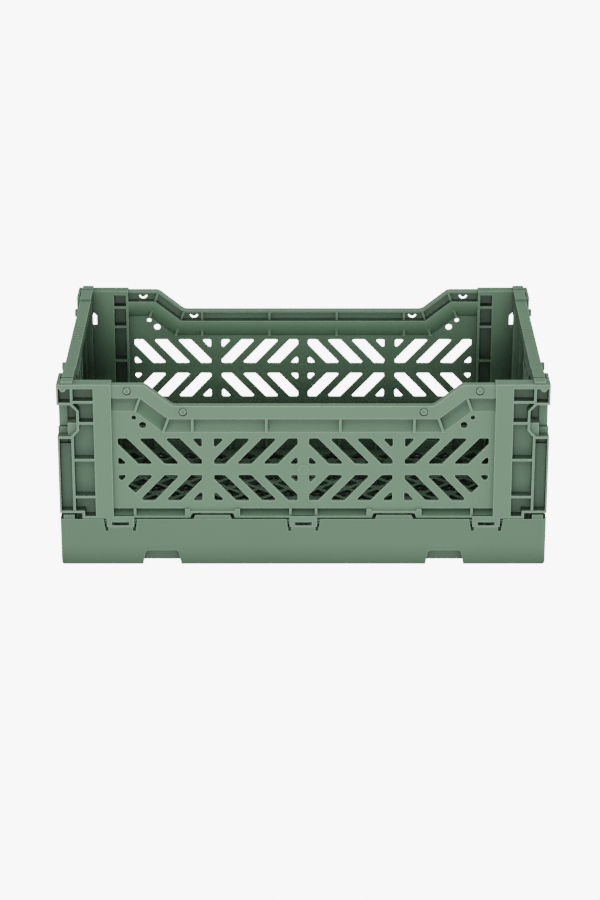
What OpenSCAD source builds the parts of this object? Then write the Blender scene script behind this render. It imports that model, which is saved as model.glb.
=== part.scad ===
// Collapsible storage crate: a low tray, two long walls and two end walls that fold into it.
// Origin at the centre of the underside, X along the length, front at -Y, Z up. Millimetres.

/* [Crate] */
// Length outside
crate_l = 266; // [262:1:280]
// Width outside
crate_w = 171; // [169:1:180]
// Height to the top of the walls
crate_h = 105; // [104:0.5:106]
// Height of the tray's rim
tray_h = 27; // [26.6:0.1:27.2]
// Thickness of the tray's floor
floor_t = 2; // [1.5:0.1:2.5]

/* [Long walls] */
// Depth of a long wall from its outer face to its inner face
wall_t = 8; // [7.8:0.1:8.4]
// Thickness of the moulded skins
skin = 1.5; // [1.2:0.1:1.8]
// Thickness of the ribs
rib = 1.3; // [1:0.1:1.6]
// Depth of the grip dip below the shoulders
dip = 12; // [8:1:14]

/* [Slots] */
// Distance between two slots along a row
slot_pitch = 14.3; // [14:0.1:14.5]
// Width of a slot along the row
slot_w = 8.4; // [8:0.1:8.8]
// Height of a row of slots
row_h = 15.2; // [15:0.1:15.4]
// Corner radius of a slot
slot_r = 0.9; // [0.6:0.1:1]

/* [Hinges] */
// Radius of the moulded hinge pins
pin_r = 1.2; // [1:0.05:1.25]
// Running clearance of a pin in its socket
pin_gap = 0.05; // [0.02:0.01:0.1]

/* [Hidden] */
$fn = 32;

half_l = crate_l / 2;
half_w = crate_w / 2;
eps = 0.01;
over = 1;
shell_colour = "#7b9783";

// Tray
end_skin = 1.8;
side_skin = 2.2;
tray_corner_r = 2.5;
inner_r = 1.2;
foot_r = [2, 1];
floor_z = 1.8;
floor_top = floor_z + floor_t;
notch_x = 77.5;
notch_foot = 10.5;
notch_head = 8;
notch_h = 8.5;
notch_depth = 4;
notch_soft = 1;
ledge_top = 19.6;
ledge_t = 1.6;
ledge_in = 6;
ledge_lip = 0.6;
pad_in = 2;
pad_out = 8;
pad_h = 2.5;
tab_x = 49.6;
tab_half = 10.4;
tab_h = 2.3;
tab_setback = 0.3;

foot_t = 2.2;
rib_span = 110;
rib_step = 22;
floor_columns = 13;
floor_rows = 8;
floor_pitch = 8.6;
diamond = 6.9;
floor_hub_r = 12;
gap_top = 9.4;
gap_foot = 8.2;
gap_z = 20;
tongue_half = 6.6;

// Hinges of the long walls, each a moulded pin pair in two lugs of the tray
hinge_x = [-100, 0, 100];
hinge_z = 25.3;
hinge_in = 2.9;
knuckle_r = 1.9;
knuckle_half = 7.2;
lug_from = 9.4;
lug_to = 12;
seat_h = 0.4;
wall_z = tray_h + seat_h;

// Hinges of the end walls
end_hinge_y = [-52, 0, 52];
end_hinge_z = 11;
end_hinge_in = 4;
end_knuckle_r = 2;
end_lug_r = 2.2;
end_wall_z = 13.5;
end_knuckle_half = 6;
end_lug_from = 6.3;
end_lug_to = 9;
lug_foot = 2;

// Long wall
column_in = 29.4;
band_in = 20.4;
divider_in = 8.8;
corner_in = 12.4;
corner_z = 30.6;
cell_ribs = [40, 61.6, 82.9, 95];
cell_top = crate_h - 2.4;
cell_bottom = wall_z + rib;
panel_d = 2;
band_d = 1;
shoulder_x = half_l - column_in;
slope_top = 85.6;
slope_foot = 70.5;
top_edge = crate_h - 0.6;
flange_t = 1.3;
flange_d = 5.4;
band_h = 7.4;
cove_h = 8;
cove_d = 6.3;
low_channel = [wall_z + 1.2, wall_z + 5.2];
rail_ribs = [20, 60];
low_ribs = [7, 92];
cut_half = 12.2;
cut_h = 2.8;
boss_r = 1.7;
boss_hole_r = 2.45;
boss_places = [[95, crate_h - 4.1], [65, crate_h - 16.1]];
hole_places = [[91.6, crate_h - 19.5], [86.9, crate_h - 23.8]];
hole_r = [1.3, 1.9];

edge_r = 5;
rib_proud = 0.6;
cove_step = 15;
cove_lap = 0.3;
boss_lap = 0.3;
boss_sink = 0.5;
boss_rise = 0.5;
boss_ring = 0.7;
boss_dent = 0.35;
hub_r = 3;
hub_proud = 0.4;
cut_lean = 0.9;
rim_t = 1;
nub_x = 3.6;
nub_back = 0.6;
pivot_r = 1.7;
leaf_t = 1.4;
leaf_half = 7.5;
leaf_z = 22.4;
leaf_gap = 0.2;
leaf_window = [23.2, 25.4];
window_half = 4.7;
pin_short = 0.2;

// Latch recess of a column
catch_z = [75.3, 93.4];
catch_in = 10.6;
catch_lean = 3.4;
catch_foot = 3.6;
catch_block = 5.6;
catch_shelf = 3.3;
window_z = [69, 73.8];

// Slots: two rows, mirrored about the line between them, in groups beside each other
rows_z = 55.3;
row_gap = 6.1;
group_from = 3;
group_w = 45.6;
group_gap = 6.4;
slot_start = 3.3;
corner_cut = 13.2;
arc_steps = 3;

// End wall
end_t = 8.8;
end_face = 2.4;
wall_gap = 0.5;
end_half = half_w - wall_t - wall_gap;
post_w = 11;
post_z = 28.5;
nub_h = 1.4;
nub_len = 16.5;
grip_half = 20;
grip_h = 9;
grip_z = 90;
ridge_pitch = 4;
ridge_count = 7;
ridge_half = 0.5;
ridge_h = 0.25;
lip_h = 5;
lip_gap = 6;
groove_h = 7;
end_rib_y = 52.6;
bump_e = 0.4;
bump_r = 2.3;
bump_y = 46.7;
bump_z = crate_h - 3;

// Latch tongue of an end wall
latch_root_z = 64;
latch_top = 92.9;
latch_from = 0.5;
latch_to = 5.1;
latch_t = 1.6;
latch_root_r = 0.8;
latch_nose = 0.3;
latch_nose_z = 79;
latch_pocket = 4.6;
latch_room = 0.4;
root_slot = 0.5;
pocket_top = 93.5;
pocket_through = [77, 91.5];

// ---- Outline functions ----

// The part of a convex outline that lies left of the line through p along d
function cut(outline, p, d) = [
    for (i = [0:len(outline) - 1])
        let (a = outline[i], b = outline[(i + 1) % len(outline)])
        let (sa = cross(d, a - p), sb = cross(d, b - p))
        each concat(
            sa >= 0 ? [a] : [],
            (sa >= 0) != (sb >= 0) ? [a + (b - a) * sa / (sa - sb)] : []
        )
];

// The arc of radius r that rounds the corner b between a and c
function corner_arc(a, b, c, r) =
    let (u = (a - b) / norm(a - b), v = (c - b) / norm(c - b))
    let (half = acos(u * v) / 2)
    let (middle = b + (u + v) / norm(u + v) * r / sin(half))
    let (from = b + u * r / tan(half) - middle)
    let (start = atan2(from[1], from[0]))
    let (turn = (180 - 2 * half) * sign(cross(b - a, c - b)))
    [
        for (i = [0:arc_steps])
            let (t = start + turn * i / arc_steps)
            middle + r * [cos(t), sin(t)]
    ];

// A convex outline with all its corners rounded
function rounded(outline, r) = [
    for (i = [0:len(outline) - 1])
        let (n = len(outline))
        each corner_arc(outline[(i + n - 1) % n], outline[i], outline[(i + 1) % n], r)
];

// One slot of the upper row of the right-hand outer group, leaning down towards the centre
function slot_outline(k, from, to) =
    let (z0 = rows_z + row_gap / 2, z1 = z0 + row_h)
    let (top = to + slot_start - slot_pitch * k, foot = top - slot_pitch)
    let (bar = [[foot - slot_w, z0], [foot, z0], [top, z1], [top - slot_w, z1]])
    cut(cut(bar, [to, 0], [0, 1]), [from, 0], [0, -1]);

// Slots of a group between from and to. k = -1 is the small hole in the outer bottom corner
function group_slots(from, to) = [for (k = [-1:3]) slot_outline(k, from, to)];

// ---- Helpers ----

// A flat shape in X and Z, extruded through a long wall from depth d0 to depth d1
module slab(d0, d1) {
    translate([0, -half_w + d1, 0])
        rotate([90, 0, 0])
            linear_extrude(d1 - d0)
                children();
}

// A flat shape in Y and Z, extruded through the left end wall from depth e0 to depth e1
module plate(e0, e1) {
    translate([-half_l + e0, 0, 0])
        rotate([90, 0, 90])
            linear_extrude(e1 - e0)
                children();
}

// A rectangle between two corners
module area(x0, z0, x1, z1) {
    translate([x0, z0])
        square([x1 - x0, z1 - z0]);
}

// A rectangle centred on the origin with round corners
module soft_rect(l, w, r) {
    square([l - 2 * r, w], center = true);
    square([l, w - 2 * r], center = true);
    for (x = [-1, 1], y = [-1, 1])
        translate([x * (l / 2 - r), y * (w / 2 - r)])
            circle(r);
}

// A block between two corners
module block(a, b) {
    translate(a)
        cube(b - a);
}

// The children, and their mirror image in X
module both_ends() {
    children();
    mirror([1, 0, 0])
        children();
}

// The children, and their mirror image in Y
module both_sides() {
    children();
    mirror([0, 1, 0])
        children();
}

// A rod along X
module rod_x(x0, x1, y, z, r) {
    translate([x0, y, z])
        rotate([0, 90, 0])
            cylinder(h = x1 - x0, r = r);
}

// A rod along Y
module rod_y(y0, y1, x, z, r) {
    translate([x, y1, z])
        rotate([90, 0, 0])
            cylinder(h = y1 - y0, r = r);
}

// ---- Long wall ----

slot_top = rows_z + row_gap / 2 + row_h;
group_ends = [group_from + group_w + group_gap, group_from + 2 * group_w + group_gap];

// A slot of the outer group, cut off square where the lower outer corner stays solid
function lower_cut(s) = cut(s, [group_ends[1] + slot_top - corner_cut, 0], [-1, 1]);

// Mirrors flat children about the line between the two rows
module lower_row() {
    translate([0, 2 * rows_z])
        mirror([0, 1])
            children();
}

// The slots of the right half of a long wall
module wall_slots() {
    for (s = group_slots(group_ends[0], group_ends[1])) {
        polygon(rounded(s, slot_r));
        lower_row()
            polygon(rounded(lower_cut(s), slot_r));
        translate([2 * group_from + 2 * group_w + group_gap, 0])
            mirror([1, 0]) {
                polygon(rounded(s, slot_r));
                lower_row()
                    polygon(rounded(s, slot_r));
            }
    }
}

// Corners of the sharp top edge, from left to right
top_path = [
    [-shoulder_x - eps, top_edge],
    [-slope_top, top_edge],
    [-slope_foot, top_edge - dip],
    [slope_foot, top_edge - dip],
    [slope_top, top_edge],
    [shoulder_x + eps, top_edge]
];
last = len(top_path) - 1;

// The downward normal of stretch i of the top edge
function normal(i) =
    let (u = (top_path[i + 1] - top_path[i]) / norm(top_path[i + 1] - top_path[i]))
    [u[1], -u[0]];

// How far corner i moves for each unit of distance below the top edge
function mitre(i) = i == 0 ? normal(0) : i == last ? normal(last - 1) :
    (normal(i - 1) + normal(i)) / (1 + normal(i - 1) * normal(i));

// The line at distance t below the top edge, with sharp corners
function sharp_edge(t) = [for (i = [0:last]) top_path[i] + t * mitre(i)];

// The same line with round corners about the top edge's own centres
function soft_edge(t) =
    let (e = sharp_edge(t))
    [
        e[0],
        for (i = [1:last - 1])
            let (r = top_path[i][1] == top_edge ? edge_r - t : edge_r + t)
            each corner_arc(e[i - 1], e[i], e[i + 1], r),
        e[last]
    ];

function reverse(list) = [for (i = [len(list) - 1:-1:0]) list[i]];

// The section of a cove h high in depth and height: deep at its top, out to the panel at its foot,
// and below that a foot that ends inside the panel
function cove(h, foot) = concat(
    [[cove_d, skin / 2]],
    [for (a = [0:cove_step:90])
        [panel_d + (cove_d - panel_d) * cos(a), cove_lap - (h + cove_lap) * a / 90]],
    [[panel_d, -h - foot], [panel_d + skin / 2, -h - foot]],
    [for (a = [90 - cove_step:-cove_step:0])
        [panel_d + skin + (cove_d - panel_d) * cos(a), -cove_lap - (h + foot - cove_lap) * a / 90]],
    [[cove_d + skin, skin / 2]]
);

// A section in depth and height, extruded along X from x0 to x1 at height z
module run_x(x0, x1, z) {
    translate([x0, -half_w, z])
        rotate([90, 0, 90])
            linear_extrude(x1 - x0)
                children();
}

// The cove along the whole top edge, mitred at its corners
module top_cove() {
    section = cove(cove_h, skin);
    n = len(section);
    lines = [for (p = section) sharp_edge(band_h - p[1])];
    points = [
        for (i = [0:last], j = [0:n - 1])
            [lines[j][i][0], -half_w + section[j][0], lines[j][i][1]]
    ];
    sides = [
        for (i = [0:last - 1], j = [0:n - 1])
            let (a = i * n + j, b = i * n + (j + 1) % n)
            each [[b, a, a + n], [b, a + n, b + n]]
    ];
    half = (n - 1) / 2;
    cap = concat(
        [for (j = [0:half - 2]) each [[j, j + 1, n - 1 - j], [j + 1, n - 2 - j, n - 1 - j]]],
        [[half - 1, half, half + 1]]
    );
    far_cap = [for (t = cap) [last * n + t[2], last * n + t[1], last * n + t[0]]];
    polyhedron(points, concat(cap, far_cap, sides));
}

// Thin ribs across the top rail, from distance t0 to t1 below the edge
module rail_rib_lines(t0, t1) {
    upper = sharp_edge(t0);
    lower = sharp_edge(t1);
    for (i = [1:last - 1])
        polygon([
            upper[i] - [rib / 2, 0],
            upper[i] + [rib / 2, 0],
            lower[i] + [rib / 2, 0],
            lower[i] - [rib / 2, 0]
        ]);
    for (x = rail_ribs, side = [-1, 1])
        area(side * x - rib / 2, lower[2][1], side * x + rib / 2, upper[2][1]);
}

// The top rail: outer band, flange, channel wall, cove and the ribs on both faces
module top_rail() {
    slab(band_d, band_d + skin)
        difference() {
            polygon(concat(soft_edge(0), reverse(sharp_edge(band_h))));
            for (p = boss_places, side = [-1, 1])
                translate([side * p[0], p[1]])
                    circle(boss_hole_r);
        }
    slab(band_d, flange_d)
        polygon(concat(soft_edge(0), reverse(soft_edge(flange_t))));
    slab(band_d, cove_d + skin)
        polygon(concat(sharp_edge(band_h - skin), reverse(sharp_edge(band_h))));
    top_cove();
    slab(band_d + skin - eps, flange_d)
        rail_rib_lines(flange_t / 2, band_h - skin / 2);
    slab(panel_d - rib_proud, cove_d + skin / 2)
        rail_rib_lines(band_h - skin / 2, band_h + cove_h);
}

// Round bosses of the top rail, each a disc held by a half-round web that closes the top of its hole
module bosses() {
    for (p = boss_places, side = [-1, 1])
        translate([side * p[0], 0, p[1]]) {
            slab(0, boss_dent)
                translate([0, boss_rise])
                    difference() {
                        circle(boss_r);
                        circle(boss_r - boss_ring);
                    }
            slab(boss_dent - eps, band_d + boss_sink + eps)
                translate([0, boss_rise])
                    circle(boss_r);
            slab(band_d + boss_sink, band_d + skin - boss_lap)
                difference() {
                    circle(boss_hole_r + boss_lap);
                    area(-2 * boss_hole_r, -2 * boss_hole_r, 2 * boss_hole_r, 0);
                }
        }
}

// The slotted panel between the rails
module panel() {
    lower = sharp_edge(band_h + cove_h + skin / 2);
    slab(panel_d, panel_d + skin)
        difference() {
            polygon(concat(lower, [
                [shoulder_x, low_channel[1]],
                [-shoulder_x, low_channel[1]]
            ]));
            for (side = [0, 1])
                mirror([side, 0]) {
                    wall_slots();
                    for (i = [0, 1])
                        translate(hole_places[i])
                            circle(hole_r[i]);
                }
        }
    slab(panel_d, panel_d + skin + eps)
        for (side = [-1, 1])
            area(side * tab_x - cut_half - skin, wall_z + cut_h + rib / 2, side * tab_x + cut_half + skin,
                low_channel[1] + skin / 2);
    translate([0, 0, rows_z])
        slab(panel_d - hub_proud, panel_d + skin + hub_proud)
            circle(hub_r);
}

// The rail along the foot: channel, bottom plate with arches over the tray's tabs, ribs
module low_rail() {
    arch_from = tab_x - cut_half - skin;
    arch_to = tab_x + cut_half + skin;
    foot_cove = low_channel[1] - low_channel[0];
    run_x(-arch_from, arch_from, low_channel[1])
        polygon(cove(foot_cove, low_channel[0] - wall_z - eps));
    both_ends()
        run_x(arch_to, shoulder_x + eps, low_channel[1])
            polygon(cove(foot_cove, low_channel[0] - wall_z - eps));
    slab(panel_d, cove_d + skin)
        area(-shoulder_x - eps, low_channel[1], shoulder_x + eps, low_channel[1] + skin);
    slab(band_d, wall_t)
        difference() {
            union() {
                area(-shoulder_x - eps, wall_z, shoulder_x + eps, low_channel[0]);
                for (side = [-1, 1])
                    arch(side * tab_x, rib);
            }
            for (side = [-1, 1])
                translate([0, -eps])
                    arch(side * tab_x, 0);
        }
    slab(band_d, cove_d + skin)
        for (side = [-1, 1], k = [-1, 1])
            area(side * tab_x + k * (cut_half + skin) - rib, low_channel[0] - eps,
                side * tab_x + k * (cut_half + skin) + rib, low_channel[1] + eps);
    slab(panel_d - rib_proud, cove_d + skin / 2)
        for (x = low_ribs, side = [-1, 1])
            area(side * x - rib / 2, low_channel[0] - eps, side * x + rib / 2, low_channel[1] + eps);
}

// The outline of the arch over a tab of the tray, grown by g
module arch(x, g) {
    polygon([
        [x - cut_half - g, wall_z],
        [x + cut_half + g, wall_z],
        [x + cut_half - cut_lean + g, wall_z + cut_h + g],
        [x - cut_half + cut_lean - g, wall_z + cut_h + g]
    ]);
}

// Heights between which the cells of a column lie
cell_levels = concat([cell_bottom - rib / 2], cell_ribs, [cell_top + rib / 2]);

// Rectangles between the ribs of a column, from x0 to x1
module cells(x0, x1) {
    for (i = [0:len(cell_levels) - 2])
        area(x0, cell_levels[i] + rib / 2, x1, cell_levels[i + 1] - rib / 2);
}

// The latch recess of a column, open at its outer end, grown by g
function recess(g) = [
    [half_l + over, catch_z[1] + g],
    [half_l - catch_in + catch_lean - g / 2, catch_z[1] + g],
    [half_l - catch_in - g, catch_z[1] - catch_lean],
    [half_l - catch_in - g, catch_z[0] + catch_foot],
    [half_l - catch_in + catch_lean - g / 2, catch_z[0] - g],
    [half_l + over, catch_z[0] - g]
];

// The right-hand column of a long wall: ribbed on its outer face at the end, on its inner face next to it
module column() {
    outer_cell = [half_l - divider_in + rib, half_l - rim_t];
    difference() {
        slab(0, wall_t)
            polygon([
                [shoulder_x, wall_z],
                [half_l - corner_in, wall_z],
                [half_l - corner_in, corner_z],
                [half_l, corner_z],
                [half_l, crate_h],
                [shoulder_x, crate_h]
            ]);
        slab(-over, wall_t - skin)
            difference() {
                union() {
                    cells(half_l - band_in + rib / 2, half_l - divider_in);
                    area(outer_cell[0], catch_z[1] + rib, outer_cell[1], cell_top);
                    area(outer_cell[0], corner_z + rib, outer_cell[1], catch_z[0] - rib);
                }
                polygon(recess(rib));
                area(half_l - corner_in - rib, wall_z, half_l - divider_in, corner_z + rib);
            }
        slab(skin, wall_t + over)
            cells(shoulder_x + rib, half_l - band_in - rib / 2);
        slab(-over, wall_t + over) {
            difference() {
                polygon(recess(0));
                area(half_l - 2 * catch_in, 0, half_l - catch_block, catch_z[0] + 2 * catch_foot);
                area(half_l - 2 * catch_in, 0, half_l + 2 * over, catch_z[0] + catch_shelf);
            }
            area(outer_cell[0], window_z[0], outer_cell[1], window_z[1]);
        }
        slab(-over, panel_d)
            polygon(recess(0));
        slab(-over, wall_t - skin)
            area(half_l - catch_block, catch_z[0], half_l + over, catch_z[0] + catch_shelf + eps);
    }
    translate([half_l - nub_x, 0, cell_top])
        slab(0, wall_t - skin / 2)
            circle(pivot_r);
    translate([0, 0, crate_h - eps])
        block([half_l - end_t, -half_w + band_d, 0],
            [half_l - end_face, -half_w + wall_t - nub_back, nub_h]);
}

// A hinge leaf at x: tab, knuckle and the two pins
module wall_hinge(x) {
    y = -half_w + hinge_in;
    slab(0, leaf_t)
        difference() {
            area(x - leaf_half, leaf_z, x + leaf_half, low_channel[0]);
            area(x - window_half, leaf_window[0], x + window_half, leaf_window[1]);
        }
    block([x - knuckle_half, -half_w + leaf_t - eps, hinge_z],
        [x + knuckle_half, y + knuckle_r, low_channel[0] - eps]);
    rod_x(x - knuckle_half, x + knuckle_half, y, hinge_z, knuckle_r);
    rod_x(x - lug_to + pin_short, x + lug_to - pin_short, y, hinge_z, pin_r);
}

module long_wall() {
    both_ends()
        column();
    panel();
    top_rail();
    bosses();
    low_rail();
    for (x = hinge_x)
        wall_hinge(x);
}

module front_wall() {
    color(shell_colour)
        long_wall();
}

module back_wall() {
    color(shell_colour)
        rotate([0, 0, 180])
            long_wall();
}

// ---- Base tray ----

// The outside of the tray: round corners in plan and round edges along its foot
module tray_body() {
    intersection() {
        linear_extrude(tray_h)
            soft_rect(crate_l, crate_w, tray_corner_r);
        translate([0, half_w, 0])
            rotate([90, 0, 0])
                linear_extrude(crate_w)
                    foot_profile(crate_l, foot_r[0]);
        translate([-half_l, 0, 0])
            rotate([90, 0, 90])
                linear_extrude(crate_l)
                    foot_profile(crate_w, foot_r[1]);
    }
}

// A tall profile l wide with lower corners of radius r
module foot_profile(l, r) {
    translate([0, tray_h])
        soft_rect(l, 2 * tray_h, r);
}

// The outline of a grip notch in the foot of the tray
module notch(x) {
    polygon([
        [x - notch_foot - notch_soft, -over],
        [x - notch_foot, 0],
        [x - notch_head - notch_soft, notch_h - notch_soft],
        [x - notch_head, notch_h],
        [x + notch_head, notch_h],
        [x + notch_head + notch_soft, notch_h - notch_soft],
        [x + notch_foot, 0],
        [x + notch_foot + notch_soft, -over]
    ]);
}

// The opening in a long side of the tray for a hinge leaf
module hinge_gap(x) {
    difference() {
        polygon([
            [x - gap_top, tray_h + over],
            [x - gap_foot, gap_z],
            [x + gap_foot, gap_z],
            [x + gap_top, tray_h + over]
        ]);
        area(x - tongue_half, gap_z - over, x + tongue_half, leaf_z - leaf_gap);
    }
}

// Diamond openings of the floor
module floor_lattice() {
    for (i = [-floor_columns:floor_columns], j = [-floor_rows:floor_rows])
        if ((i + j) % 2 == 0 && norm([i * floor_pitch, j * floor_pitch]) > floor_hub_r)
            translate([i * floor_pitch, j * floor_pitch])
                polygon([[-diamond, 0], [0, -diamond], [diamond, 0], [0, diamond]]);
}

// Two lugs with bores, beside a hinge leaf at x
module side_lugs(x) {
    y = -half_w + hinge_in;
    for (side = [-1, 1])
        translate([x + side * (lug_from + lug_to) / 2, 0, 0]) {
            half = (lug_to - lug_from) / 2;
            rod_x(-half, half, y, hinge_z, knuckle_r);
            block([-half, -half_w + side_skin - eps, ledge_top - eps], [half, y, hinge_z]);
        }
}

// Two lugs with bores, beside an end wall's knuckle at y
module end_lugs(y) {
    x = -half_l + end_hinge_in;
    for (side = [-1, 1])
        translate([0, y + side * (end_lug_from + end_lug_to) / 2, 0]) {
            half = (end_lug_to - end_lug_from) / 2;
            rod_y(-half, half, x, end_hinge_z, end_lug_r);
            block([-half_l + end_skin - eps, -half, floor_top - eps], [x, half, end_hinge_z + end_lug_r]);
            block([-half_l + end_skin - eps, -half, floor_top - eps],
                [x + end_lug_r, half, floor_top + lug_foot]);
        }
}

// What stands on one long side of the tray
module tray_side() {
    block([-half_l + end_skin, -half_w + side_skin - eps, ledge_top - ledge_t],
        [half_l - end_skin, -half_w + ledge_in, ledge_top]);
    for (x = [-rib_span:rib_step:rib_span])
        block([x - rib / 2, -half_w + side_skin - eps, floor_top - eps],
            [x + rib / 2, -half_w + ledge_in - ledge_lip, ledge_top - eps]);
    for (x = hinge_x)
        side_lugs(x);
    both_ends() {
        block([notch_x - notch_foot - 2 * notch_soft, -half_w + side_skin - eps, floor_z],
            [notch_x + notch_foot + 2 * notch_soft, -half_w + notch_depth + skin, notch_h + skin]);
        slab(tab_setback, side_skin)
            polygon([
                [tab_x - tab_half, tray_h - eps],
                [tab_x + tab_half, tray_h - eps],
                [tab_x + tab_half - cut_lean, tray_h + tab_h],
                [tab_x - tab_half + cut_lean, tray_h + tab_h]
            ]);
        slab(tab_setback, side_skin)
            area(half_l - pad_out, tray_h - eps, half_l - pad_in, tray_h + pad_h);
    }
}

// What is cut out of one long side of the tray
module tray_side_cuts() {
    y = -half_w + hinge_in;
    for (x = hinge_x) {
        slab(-over, side_skin + eps)
            hinge_gap(x);
        rod_x(x - lug_to - over, x + lug_to + over, y, hinge_z, pin_r + pin_gap);
    }
    both_ends()
        slab(-over, notch_depth)
            notch(notch_x);
}

module base_tray() {
    color(shell_colour)
        difference() {
            union() {
                difference() {
                    tray_body();
                    translate([0, 0, floor_top])
                        linear_extrude(tray_h)
                            soft_rect(crate_l - 2 * end_skin, crate_w - 2 * side_skin, inner_r);
                    translate([0, 0, -over])
                        linear_extrude(floor_z + over)
                            soft_rect(crate_l - 2 * foot_t, crate_w - 2 * foot_t, inner_r);
                }
                both_sides()
                    tray_side();
                both_ends()
                    for (y = end_hinge_y)
                        end_lugs(y);
            }
            both_sides()
                tray_side_cuts();
            both_ends()
                for (y = end_hinge_y)
                    rod_y(y - end_lug_to - over, y + end_lug_to + over, -half_l + end_hinge_in,
                        end_hinge_z, pin_r + pin_gap);
            translate([0, 0, floor_z - over])
                linear_extrude(floor_t + 2 * over)
                    floor_lattice();
        }
}

// ---- End wall ----

// The slots of the half of an end wall at +Y
module end_slots() {
    translate([group_from - group_ends[0], 0])
        for (s = group_slots(group_ends[0], group_ends[1])) {
            polygon(rounded(s, slot_r));
            lower_row()
                polygon(rounded(s, slot_r));
        }
}

// The skin of the end wall with its slots and grip opening
module end_panel() {
    plate(end_face, end_face + skin)
        difference() {
            area(-end_half, end_wall_z, end_half, crate_h);
            for (side = [0, 1])
                mirror([side, 0]) {
                    end_slots();
                    area(end_half - latch_pocket, latch_root_z - latch_root_r, end_half + over, pocket_top);
                }
            translate([0, grip_z])
                soft_rect(2 * grip_half, grip_h, grip_h / 2 - eps);
        }
}

// The frame around the end wall's panel, with its top flange
module end_frame() {
    plate(end_face, end_t)
        area(-end_half, crate_h - flange_t, end_half, crate_h);
    plate(end_t - rib, end_t)
        area(-end_half + post_w - eps, crate_h - lip_h, end_half - post_w + eps, crate_h - eps);
    plate(end_face + eps, end_t - rib)
        for (z = [crate_h - lip_h - lip_gap, post_z])
            area(-end_half + post_w - eps, z, end_half - post_w + eps, z + rib);
    plate(end_face + eps, end_t - 2 * rib)
        difference() {
            translate([0, grip_z])
                soft_rect(2 * (grip_half + rib), grip_h + 2 * rib, grip_h / 2 + rib - eps);
            translate([0, grip_z])
                soft_rect(2 * grip_half, grip_h, grip_h / 2 - eps);
        }
    plate(end_face + eps, end_t - 2 * rib)
        for (side = [-1, 1])
            area(side * end_rib_y - rib / 2, end_wall_z, side * end_rib_y + rib / 2,
                crate_h - lip_h - lip_gap + eps);
    for (k = [-(ridge_count - 1) / 2:(ridge_count - 1) / 2])
        plate(end_face, end_t)
            area(k * ridge_pitch - ridge_half, crate_h - eps, k * ridge_pitch + ridge_half,
                crate_h + ridge_h);
    for (side = [-1, 1])
        translate([-half_l + bump_e, side * bump_y, bump_z])
            rotate([0, 90, 0])
                cylinder(h = end_face - bump_e + eps, r = bump_r);
}

// The post at the +Y edge of the end wall: flat outside, ribbed inside, with the latch pocket in its edge
module end_post() {
    inner = end_half - post_w;
    difference() {
        union() {
            plate(0, end_t)
                area(inner, post_z, end_half, crate_h - eps);
            plate(end_face, end_t)
                area(end_half - nub_len, crate_h - eps, end_half - wall_gap, crate_h + nub_h);
        }
        plate(skin, end_t + over)
            for (i = [0:len(cell_levels) - 2])
                area(inner + rib, max(cell_levels[i], post_z + rib / 2) + rib / 2,
                    end_half - latch_pocket - rib, cell_levels[i + 1] - rib / 2);
        plate(skin, end_face)
            area(inner + rib, crate_h - groove_h, end_half - rib / 2, crate_h + over);
        plate(-over, latch_to + latch_room)
            area(end_half - latch_pocket, latch_root_z, end_half + over, pocket_top);
        plate(-over, end_t + over)
            area(end_half - latch_pocket, pocket_through[0], end_half + over, pocket_through[1]);
        rod_x(-half_l - over, -half_l + latch_to + latch_room, end_half - latch_t / 2, latch_root_z,
            latch_root_r + pin_gap);
        plate(-over, latch_to + latch_room)
            area(end_half - latch_t / 2 - root_slot, latch_root_z - root_slot, end_half + over,
                latch_root_z + over);
    }
}

// A knuckle of the end wall at y, with its two pins
module end_knuckle(y) {
    x = -half_l + end_hinge_in;
    rod_y(y - end_knuckle_half, y + end_knuckle_half, x, end_hinge_z, end_knuckle_r);
    rod_y(y - end_lug_to + pin_short, y + end_lug_to - pin_short, x, end_hinge_z, pin_r);
    plate(end_face, end_face + 2 * skin)
        area(y - end_knuckle_half, end_hinge_z, y + end_knuckle_half, end_wall_z + eps);
}

module end_wall() {
    end_panel();
    end_frame();
    both_sides()
        end_post();
    for (y = end_hinge_y)
        end_knuckle(y);
}

module left_wall() {
    color(shell_colour)
        end_wall();
}

module right_wall() {
    color(shell_colour)
        rotate([0, 0, 180])
            end_wall();
}

// ---- Latches ----

// The latch tongue at the +Y edge of the left wall, on a round root, with a nose at its free end
module latch() {
    color(shell_colour) {
        plate(latch_from, latch_to)
            area(end_half - latch_t, latch_root_z, end_half, latch_top);
        plate(latch_from, latch_to)
            area(end_half - latch_t, latch_nose_z, end_half + latch_nose, latch_top);
        rod_x(-half_l + latch_from, -half_l + latch_to, end_half - latch_t / 2, latch_root_z, latch_root_r);
    }
}

module left_back_latch() {
    latch();
}

module left_front_latch() {
    mirror([0, 1, 0])
        latch();
}

module right_back_latch() {
    mirror([1, 0, 0])
        latch();
}

module right_front_latch() {
    rotate([0, 0, 180])
        latch();
}

base_tray();
front_wall();
back_wall();
left_wall();
right_wall();
left_front_latch();
left_back_latch();
right_front_latch();
right_back_latch();
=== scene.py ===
"""Looks of the collapsible storage crate: moulded sage plastic, a pale studio, its lights and its camera."""

import math

import bpy
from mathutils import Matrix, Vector

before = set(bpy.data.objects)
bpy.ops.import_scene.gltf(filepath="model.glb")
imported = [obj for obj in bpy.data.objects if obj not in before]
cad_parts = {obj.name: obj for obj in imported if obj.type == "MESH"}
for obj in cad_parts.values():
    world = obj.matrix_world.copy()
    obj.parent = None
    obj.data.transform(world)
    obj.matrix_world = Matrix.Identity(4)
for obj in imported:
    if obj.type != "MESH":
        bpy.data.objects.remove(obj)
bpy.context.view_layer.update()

# Camera: place in metres, downward pitch, lens and sensor width in millimetres
CAMERA_PLACE = (-0.0018, -1.4859, 0.6096)
CAMERA_PITCH = math.radians(21.16)
CAMERA_LENS = 110.9
SENSOR_WIDTH = 36

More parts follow.
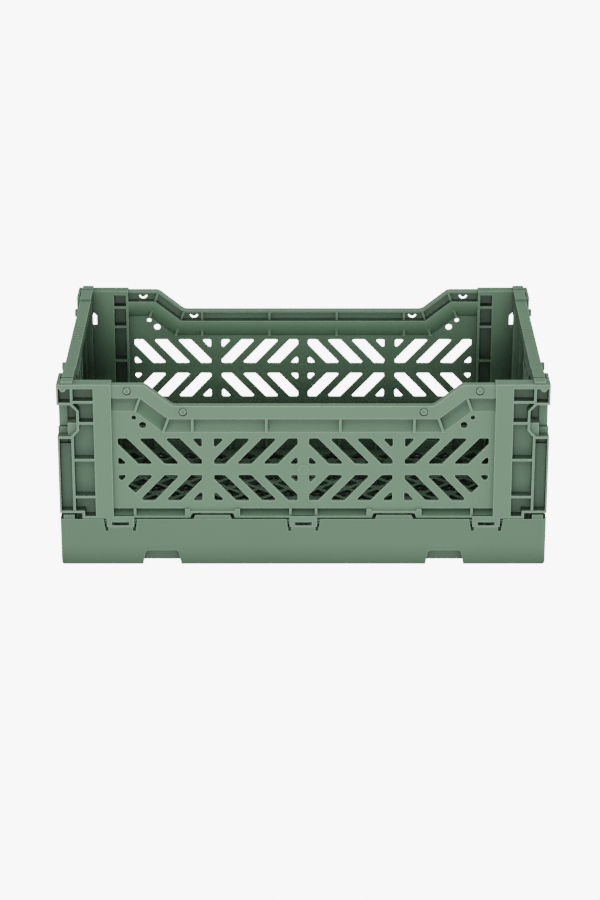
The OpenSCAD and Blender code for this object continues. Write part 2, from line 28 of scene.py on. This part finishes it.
# Brightness of the backdrop to the camera, in reflections, as light on the crate, and off the floor
BACKDROP = 9.5
REFLECTED = 0.35
AMBIENT = 0.06
BOUNCE = 0.8

# Floor: half its side, its two pale tones, and the share of it that glows
FLOOR_HALF = 30.0
FLOOR_TONES = ((0.80, 0.80, 0.80), (0.82, 0.82, 0.82))
GLOW_SHARE = 0.93
# The part of the floor that lies in the crate's own shade, short of the notches in the tray's front, and the
# painted shadow colour it gets there
SHADE_X = (-0.127, 0.127)
SHADE_Y = (-0.0775, 0.082)
PAINTED_SHADOW_UNDER_CRATE = (0.26, 0.30, 0.27)

# Plastic: linear colour of its faces and of the painted highlight along its edges
BASE_LINEAR = (0.106, 0.202, 0.122)
EDGE_HIGHLIGHT_LINEAR = (0.37, 0.54, 0.40)
# Radius of the softened edges, and reach, gain and share of the painted highlight along them
EDGE_RADIUS = 0.00035
HIGHLIGHT_REACH = 0.0008
HIGHLIGHT_GAIN = 1.5
HIGHLIGHT_SHARE = 0.85
# Reach of the painted shade in corners, how dark it gets, and how open an edge is before its painted
# highlight shows
PAINTED_SHADE_REACH = 0.013
PAINTED_SHADE_DEPTH = 1.0
PAINTED_SHADE_TONE = 0.12
OPEN_FROM = 0.54
OPEN_GAIN = 2.6
# Rays for each rounded edge and each corner
LOOKUPS = 6

# Smooth shading: corners sharper than the angle stay sharp, and points closer than the reach are one
SHARP_ANGLE = math.radians(28)
WELD_REACH = 1e-6

# Each piece's place in the noise and its tone, so that no two mouldings look the same
TONES = {
    "base_tray": ((0.0, 0.0, 0.0), 0.985),
    "front_wall": ((3.1, 1.7, 0.4), 1.0),
    "back_wall": ((7.7, 2.9, 1.3), 1.0),
    "left_wall": ((1.9, 8.3, 2.2), 0.99),
    "right_wall": ((5.3, 4.1, 3.6), 0.99),
}
LATCH_TONE = ((2.4, 6.1, 5.2), 1.0)


# ---- Node helpers ----

def new_material(name):
    material = bpy.data.materials.new(name)
    material.use_nodes = True
    tree = material.node_tree
    tree.nodes.clear()
    return material, tree


def node(tree, kind, **inputs):
    made = tree.nodes.new(kind)
    for key, value in inputs.items():
        made.inputs[key.replace("_", " ")].default_value = value
    return made


def link(tree, source, target):
    tree.links.new(source, target)


def math_node(tree, operation, a, b, clamp=False):
    """One step of arithmetic, on numbers or on other nodes' outputs."""
    made = tree.nodes.new("ShaderNodeMath")
    made.operation = operation
    made.use_clamp = clamp
    for i, value in enumerate((a, b)):
        if isinstance(value, (int, float)):
            made.inputs[i].default_value = value
        else:
            link(tree, value, made.inputs[i])
    return made.outputs[0]


def noise(tree, coords, scale, detail, roughness):
    made = node(tree, "ShaderNodeTexNoise", Scale=scale, Detail=detail, Roughness=roughness)
    link(tree, coords, made.inputs["Vector"])
    return made.outputs["Fac"]


def mapped(tree, coords, place, scale=(1, 1, 1)):
    made = node(tree, "ShaderNodeMapping", Location=place, Scale=scale)
    link(tree, coords, made.inputs["Vector"])
    return made.outputs["Vector"]


def mix_colour(tree, factor, a, b):
    made = tree.nodes.new("ShaderNodeMix")
    made.data_type = "RGBA"
    factor_in, a_in, b_in = (made.inputs[i] for i in (0, 6, 7))
    for target, value in ((factor_in, factor), (a_in, a), (b_in, b)):
        if isinstance(value, tuple):
            target.default_value = (*value, 1.0)
        else:
            link(tree, value, target)
    return made.outputs[2]


def shaded(colour, k):
    return tuple(min(1.0, c * k) for c in colour)


# ---- Plastic ----

def bevel(tree, radius):
    """The normal of an edge as if it were rounded."""
    made = node(tree, "ShaderNodeBevel", Radius=radius)
    made.samples = LOOKUPS
    return made.outputs[0]


def openness(tree):
    """1 on open faces, less in corners and narrow gaps."""
    made = node(tree, "ShaderNodeAmbientOcclusion", Distance=PAINTED_SHADE_REACH)
    made.samples = LOOKUPS
    return made.outputs["AO"]


def painted_edge_highlight(tree, openness_out):
    """How much painted highlight a point gets: up to 1 on an outer edge, 0 on a face and in a corner."""
    dot = tree.nodes.new("ShaderNodeVectorMath")
    dot.operation = "DOT_PRODUCT"
    link(tree, bevel(tree, HIGHLIGHT_REACH), dot.inputs[0])
    link(tree, tree.nodes.new("ShaderNodeNewGeometry").outputs["Normal"], dot.inputs[1])
    turned = math_node(tree, "SUBTRACT", 1.0, dot.outputs["Value"], clamp=True)
    edge = math_node(tree, "MULTIPLY", math_node(tree, "POWER", turned, 0.5), HIGHLIGHT_GAIN, clamp=True)
    past = math_node(tree, "SUBTRACT", openness_out, OPEN_FROM)
    clear = math_node(tree, "MULTIPLY", past, OPEN_GAIN, clamp=True)
    return math_node(tree, "MULTIPLY", math_node(tree, "MULTIPLY", edge, clear), HIGHLIGHT_SHARE)


def plastic_colour(tree, coords, place, tone):
    """Cloudy pigment, faint flow marks and specks, painted shade in corners and a painted highlight along
    edges.
    """
    moved = mapped(tree, coords, place)
    cloud = noise(tree, moved, scale=14.0, detail=3.0, roughness=0.55)
    shade = mix_colour(tree, cloud, shaded(BASE_LINEAR, 0.94 * tone), shaded(BASE_LINEAR, 1.06 * tone))
    flow_coords = mapped(tree, coords, place, scale=(60.0, 60.0, 9.0))
    flow = math_node(tree, "MULTIPLY", noise(tree, flow_coords, scale=1.0, detail=2.0, roughness=0.5), 0.10)
    shade = mix_colour(tree, flow, shade, shaded(BASE_LINEAR, 1.35 * tone))
    speck = math_node(tree, "MULTIPLY", noise(tree, moved, scale=2600.0, detail=1.0, roughness=0.5), 0.10)
    shade = mix_colour(tree, speck, shade, shaded(BASE_LINEAR, 0.7 * tone))
    # painted shade: the colour darkens towards a dark tone in corners and narrow gaps
    open_face = openness(tree)
    corner_shade = math_node(tree, "SUBTRACT", 1.0, open_face, clamp=True)
    corner_shade = math_node(tree, "MULTIPLY", corner_shade, PAINTED_SHADE_DEPTH, clamp=True)
    shade = mix_colour(tree, corner_shade, shade, shaded(BASE_LINEAR, PAINTED_SHADE_TONE))
    # painted highlight: outer edges are coloured paler than the faces, as if they caught the light
    return mix_colour(tree, painted_edge_highlight(tree, open_face), shade, shaded(EDGE_HIGHLIGHT_LINEAR, tone))


def plastic_relief(tree, moved):
    """Softened edges under slow sink marks and a spark-eroded grain."""
    sink = node(tree, "ShaderNodeBump", Strength=0.25, Distance=0.0006)
    link(tree, noise(tree, moved, scale=45.0, detail=1.0, roughness=0.4), sink.inputs["Height"])
    link(tree, bevel(tree, EDGE_RADIUS), sink.inputs["Normal"])
    grain = node(tree, "ShaderNodeBump", Strength=0.22, Distance=0.00012)
    link(tree, noise(tree, moved, scale=1500.0, detail=3.0, roughness=0.65), grain.inputs["Height"])
    link(tree, sink.outputs[0], grain.inputs["Normal"])
    return grain.outputs[0]


def plastic_roughness(tree, moved):
    """From 0.44 to 0.60, in patches."""
    patches = noise(tree, moved, scale=55.0, detail=4.0, roughness=0.6)
    return math_node(tree, "ADD", math_node(tree, "MULTIPLY", patches, 0.16), 0.44)


def crate_plastic(name, place, tone):
    material, tree = new_material(name)
    coords = tree.nodes.new("ShaderNodeTexCoord").outputs["Object"]
    moved = mapped(tree, coords, place)
    surface = node(tree, "ShaderNodeBsdfPrincipled", IOR=1.49, Specular_IOR_Level=0.42)
    link(tree, plastic_colour(tree, coords, place, tone), surface.inputs["Base Color"])
    link(tree, plastic_roughness(tree, moved), surface.inputs["Roughness"])
    link(tree, plastic_relief(tree, moved), surface.inputs["Normal"])
    out = tree.nodes.new("ShaderNodeOutputMaterial")
    link(tree, surface.outputs[0], out.inputs["Surface"])
    return material


def smooth(obj):
    """Smooth shading with sharp edges kept; the mesh itself stays as it is."""
    obj.data.polygons.foreach_set("use_smooth", [True] * len(obj.data.polygons))
    weld = obj.modifiers.new("weld", "WELD")
    weld.merge_threshold = WELD_REACH
    split = obj.modifiers.new("split", "EDGE_SPLIT")
    split.split_angle = SHARP_ANGLE


for name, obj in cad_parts.items():
    place, tone = TONES.get(name, LATCH_TONE)
    obj.data.materials.clear()
    obj.data.materials.append(crate_plastic(f"plastic_{name}", place, tone))
    smooth(obj)


# ---- Studio ----

def outside_shade(tree, coords):
    """0 on the floor in the crate's own shade, 1 elsewhere."""
    parts = tree.nodes.new("ShaderNodeSeparateXYZ")
    link(tree, coords, parts.inputs[0])
    outside = 0.0
    for axis, (low, high) in (("X", SHADE_X), ("Y", SHADE_Y)):
        off = math_node(tree, "SUBTRACT", parts.outputs[axis], (low + high) / 2)
        past = math_node(tree, "GREATER_THAN", math_node(tree, "ABSOLUTE", off, 0.0), (high - low) / 2)
        outside = math_node(tree, "MAXIMUM", past, outside)
    return outside


def floor_material():
    """A pale floor that glows like a light table, except in the crate's own shade, where it gets a painted
    shadow colour instead.
    """
    material, tree = new_material("studio_floor")
    material.cycles.emission_sampling = "NONE"
    coords = tree.nodes.new("ShaderNodeTexCoord").outputs["Object"]
    outside = outside_shade(tree, coords)
    pale = mix_colour(tree, noise(tree, coords, scale=9.0, detail=2.0, roughness=0.5), *FLOOR_TONES)
    matt = node(tree, "ShaderNodeBsdfDiffuse")
    # painted shadow: a dark matt colour under the crate in place of the pale floor
    link(tree, mix_colour(tree, outside, PAINTED_SHADOW_UNDER_CRATE, pale), matt.inputs["Color"])
    glow = tree.nodes.new("ShaderNodeEmission")
    seen = tree.nodes.new("ShaderNodeLightPath").outputs["Is Camera Ray"]
    extra = math_node(tree, "MULTIPLY", seen, BACKDROP - BOUNCE)
    link(tree, math_node(tree, "ADD", extra, BOUNCE), glow.inputs["Strength"])
    both = tree.nodes.new("ShaderNodeMixShader")
    link(tree, math_node(tree, "MULTIPLY", outside, GLOW_SHARE), both.inputs[0])
    link(tree, matt.outputs[0], both.inputs[1])
    link(tree, glow.outputs[0], both.inputs[2])
    out = tree.nodes.new("ShaderNodeOutputMaterial")
    link(tree, both.outputs[0], out.inputs["Surface"])
    return material


def studio_floor():
    r = FLOOR_HALF
    mesh = bpy.data.meshes.new("studio_floor")
    mesh.from_pydata([(-r, -r, 0), (r, -r, 0), (r, r, 0), (-r, r, 0)], [], [(0, 1, 2, 3)])
    mesh.materials.append(floor_material())
    made = bpy.data.objects.new("studio_floor", mesh)
    bpy.context.scene.collection.objects.link(made)
    return made


def studio_world():
    """White all round: bright to the camera, dimmer in reflections, faint as light."""
    world = bpy.data.worlds.new("studio")
    world.use_nodes = True
    tree = world.node_tree
    tree.nodes.clear()
    path = tree.nodes.new("ShaderNodeLightPath")
    seen = math_node(tree, "MULTIPLY", path.outputs["Is Camera Ray"], BACKDROP)
    mirrored = math_node(tree, "MULTIPLY", path.outputs["Is Glossy Ray"], REFLECTED)
    strength = math_node(tree, "MAXIMUM", math_node(tree, "MAXIMUM", seen, mirrored), AMBIENT)
    sky = node(tree, "ShaderNodeBackground", Color=(1, 1, 1, 1))
    link(tree, strength, sky.inputs["Strength"])
    out = tree.nodes.new("ShaderNodeOutputWorld")
    link(tree, sky.outputs[0], out.inputs["Surface"])
    bpy.context.scene.world = world


# ---- Lights ----

CRATE_MIDDLE = (0, 0, 0.05)
KEY_PLACE = (-0.3, -1.15, 1.1)
KEY_SIZE = (0.9, 0.6)
SIDE_SIZE = (1.0, 0.7)


def softbox(name, place, size, power, lit=None):
    """A soft light at a place, aimed at the crate. It reaches all pieces, or only those in lit."""
    light = bpy.data.lights.new(name, "AREA")
    light.shape = "RECTANGLE"
    light.size, light.size_y = size
    light.energy = power
    made = bpy.data.objects.new(name, light)
    bpy.context.scene.collection.objects.link(made)
    made.location = place
    aim = Vector(CRATE_MIDDLE) - Vector(place)
    made.rotation_euler = aim.to_track_quat("-Z", "Y").to_euler()
    if lit:
        group = bpy.data.collections.new(f"lit_by_{name}")
        for piece in lit:
            group.objects.link(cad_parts[piece])
        made.light_linking.receiver_collection = group
    return made


def all_but(*names):
    return [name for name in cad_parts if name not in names]


def studio_camera():
    camera = bpy.data.objects.new("camera", bpy.data.cameras.new("camera"))
    bpy.context.scene.collection.objects.link(camera)
    camera.data.sensor_width = SENSOR_WIDTH
    camera.data.lens = CAMERA_LENS
    camera.location = CAMERA_PLACE
    camera.rotation_euler = (math.pi / 2 - CAMERA_PITCH, 0, 0)
    return camera


studio_floor()
studio_world()
softbox("key", KEY_PLACE, KEY_SIZE, 9, all_but("base_tray", "back_wall"))
softbox("far_key", KEY_PLACE, KEY_SIZE, 2, ["back_wall"])
softbox("front", (-0.03, -1.85, 0.4), (0.7, 0.5), 27)
softbox("top", (0, -0.25, 1.5), (0.6, 0.5), 3)
back = softbox("back", (0.3, 1.6, 1.2), (1.2, 0.8), 36)
back.visible_glossy = False
softbox("right_side", (1.9, -0.2, 0.6), SIDE_SIZE, 17, all_but("left_wall"))
softbox("left_side", (-1.9, 0.2, 0.6), SIDE_SIZE, 17, all_but("right_wall"))
bpy.context.scene.camera = studio_camera()
